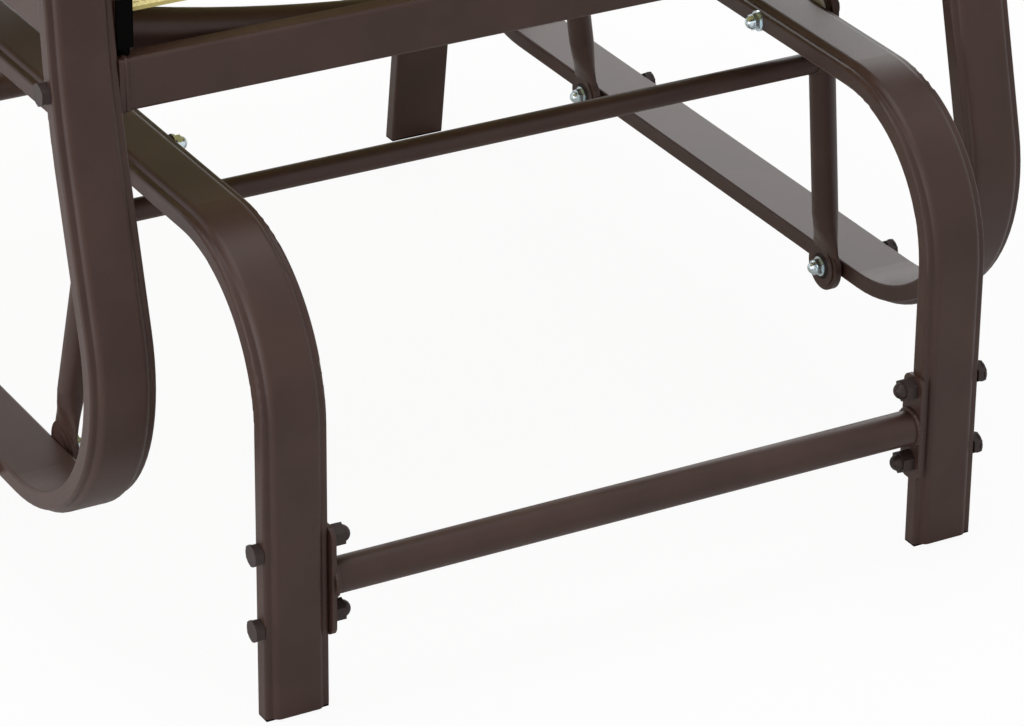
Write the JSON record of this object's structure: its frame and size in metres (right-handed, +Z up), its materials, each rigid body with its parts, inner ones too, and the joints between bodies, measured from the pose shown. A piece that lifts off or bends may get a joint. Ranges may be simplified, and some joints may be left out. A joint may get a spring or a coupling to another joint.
{
  "type": "glider chair",
  "caption": "Outdoor glider armchair: a stretched fabric sling seat between closed tubular side loops, hung by swing links from a low tubular base.",
  "frame": {"origin": "on the floor, under the middle of the chair's width and depth, with the seat at rest", "axes": "+Z up, +Y towards the back of the chair, +X to the right for a viewer in front of the chair"},
  "size_m": [0.6532, 0.7941, 0.8839],
  "materials": {
    "brown_coat": "dark brown satin powder coat",
    "zinc": "bright zinc plate",
    "cap_plastic": "brown moulded plastic",
    "black_plastic": "black moulded plastic",
    "nylon": "natural nylon",
    "sling_fabric": "beige woven mesh"
  },
  "bodies": {
    "base": {"base_side_left": "brown_coat", "base_side_right": "brown_coat", "foot_plugs": "black_plastic", "front_stretcher": "brown_coat", "rear_stretcher": "brown_coat", "stretcher_bolts": "zinc", "stretcher_head_caps": "cap_plastic", "stretcher_nut_caps": "cap_plastic", "stretcher_nuts": "zinc", "upper_pivot_bolts": "zinc", "upper_pivot_caps": "cap_plastic", "upper_pivot_nuts": "zinc", "upper_pivot_washers": "nylon"},
    "front_swing": {"front_crossbar": "brown_coat", "front_link_bushes": "black_plastic", "front_link_left": "brown_coat", "front_link_right": "brown_coat"},
    "rear_swing": {"rear_link_bushes": "black_plastic", "rear_link_left": "brown_coat", "rear_link_right": "brown_coat"},
    "seat": {"back_bolts": "zinc", "back_caps": "cap_plastic", "back_nuts": "zinc", "back_spacers": "zinc", "back_spreader": "brown_coat", "cross_rail_bolts": "zinc", "cross_rail_caps": "cap_plastic", "cross_rail_nuts": "zinc", "front_cross_rail": "brown_coat", "front_spreader": "brown_coat", "lower_pivot_bolts": "zinc", "lower_pivot_bosses": "brown_coat", "lower_pivot_caps": "cap_plastic", "lower_pivot_nuts": "zinc", "rear_cross_rail": "brown_coat", "rear_spreader": "brown_coat", "seat_bearer_left": "brown_coat", "seat_bearer_right": "brown_coat", "seat_loop_left": "brown_coat", "seat_loop_right": "brown_coat", "sling": "sling_fabric", "sling_rod_left": "black_plastic", "sling_rod_right": "black_plastic", "sling_track_left": "brown_coat", "sling_track_right": "brown_coat", "top_bar": "brown_coat", "track_end_caps": "black_plastic", "track_rivets": "zinc", "track_spacers": "black_plastic"}
  },
  "joints": [
    {"name": "front_swing_hinge", "type": "hinge", "parent": "base", "child": "front_swing", "pos_m": [0, -0.1898, 0.28175], "axis": [1, 0, 0], "range_deg": [-15, 15]},
    {"name": "rear_swing_hinge", "type": "hinge", "parent": "base", "child": "rear_swing", "pos_m": [0, 0.1497, 0.28175], "axis": [1, 0, 0], "range_deg": [-15.5, 15.5]},
    {"name": "seat_hinge", "type": "hinge", "parent": "front_swing", "child": "seat", "pos_m": [0, -0.1733, 0.08825], "axis": [1, 0, 0], "range_deg": [-16.5, 16.5]}
  ],
  "couplings": [
    {"joint": "rear_swing_hinge", "follows": "front_swing_hinge", "ratio": 1},
    {"joint": "seat_hinge", "follows": "front_swing_hinge", "ratio": -1.072}
  ]
}
